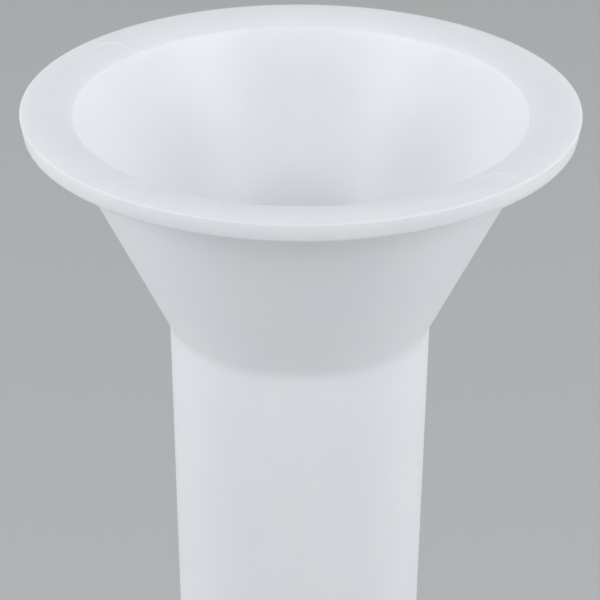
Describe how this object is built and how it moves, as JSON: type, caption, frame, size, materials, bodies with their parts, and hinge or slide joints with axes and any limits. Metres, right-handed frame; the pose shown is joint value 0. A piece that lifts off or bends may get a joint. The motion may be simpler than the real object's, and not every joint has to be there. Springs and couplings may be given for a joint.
{
  "type": "stuffing funnel",
  "caption": "White plastic flanged funnel with a wide straight tube, clamped to a filling machine's outlet by its flat ring flange.",
  "frame": {"origin": "centre of the tube's square-cut lower end, which the funnel stands on", "axes": "+Z along the funnel's axis, from the tube's lower end up to the open mouth; it is turned round +Z, so X and Y are free"},
  "size_m": [0.082, 0.082, 0.155],
  "materials": {
    "white_plastic": "satin moulded polyolefin, white and slightly translucent"
  },
  "bodies": {
    "root": {"funnel": "white_plastic"}
  },
  "joints": []
}
